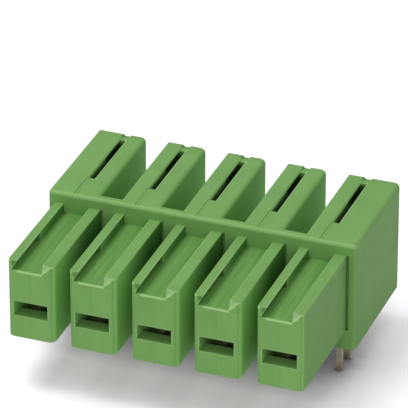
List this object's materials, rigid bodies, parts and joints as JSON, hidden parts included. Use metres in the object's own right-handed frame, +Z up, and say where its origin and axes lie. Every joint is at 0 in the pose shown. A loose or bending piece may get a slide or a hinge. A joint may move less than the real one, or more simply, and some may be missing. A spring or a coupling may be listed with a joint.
{
  "type": "pluggable terminal block header",
  "caption": "Inverted board header of a pluggable terminal block: socket towers with guide rails in front of a slotted body, and solder legs below it.",
  "frame": {"origin": "on the seat plane, in the middle pole's centre plane, at the front row of solder legs", "axes": "+X along the row of poles to the right as seen from the sockets, +Y from the sockets to the back, +Z up from the board"},
  "size_m": [0.051, 0.0414, 0.0242],
  "materials": {
    "housing_plastic": "satin",
    "contact_tin": "tin plated, satin",
    "spring_steel": "satin"
  },
  "bodies": {
    "root": {"housing": "housing_plastic", "contact_1": "contact_tin", "contact_2": "contact_tin", "contact_3": "contact_tin", "contact_4": "contact_tin", "contact_5": "contact_tin", "spring_1": "spring_steel", "spring_2": "spring_steel", "spring_3": "spring_steel", "spring_4": "spring_steel", "spring_5": "spring_steel"}
  },
  "joints": []
}
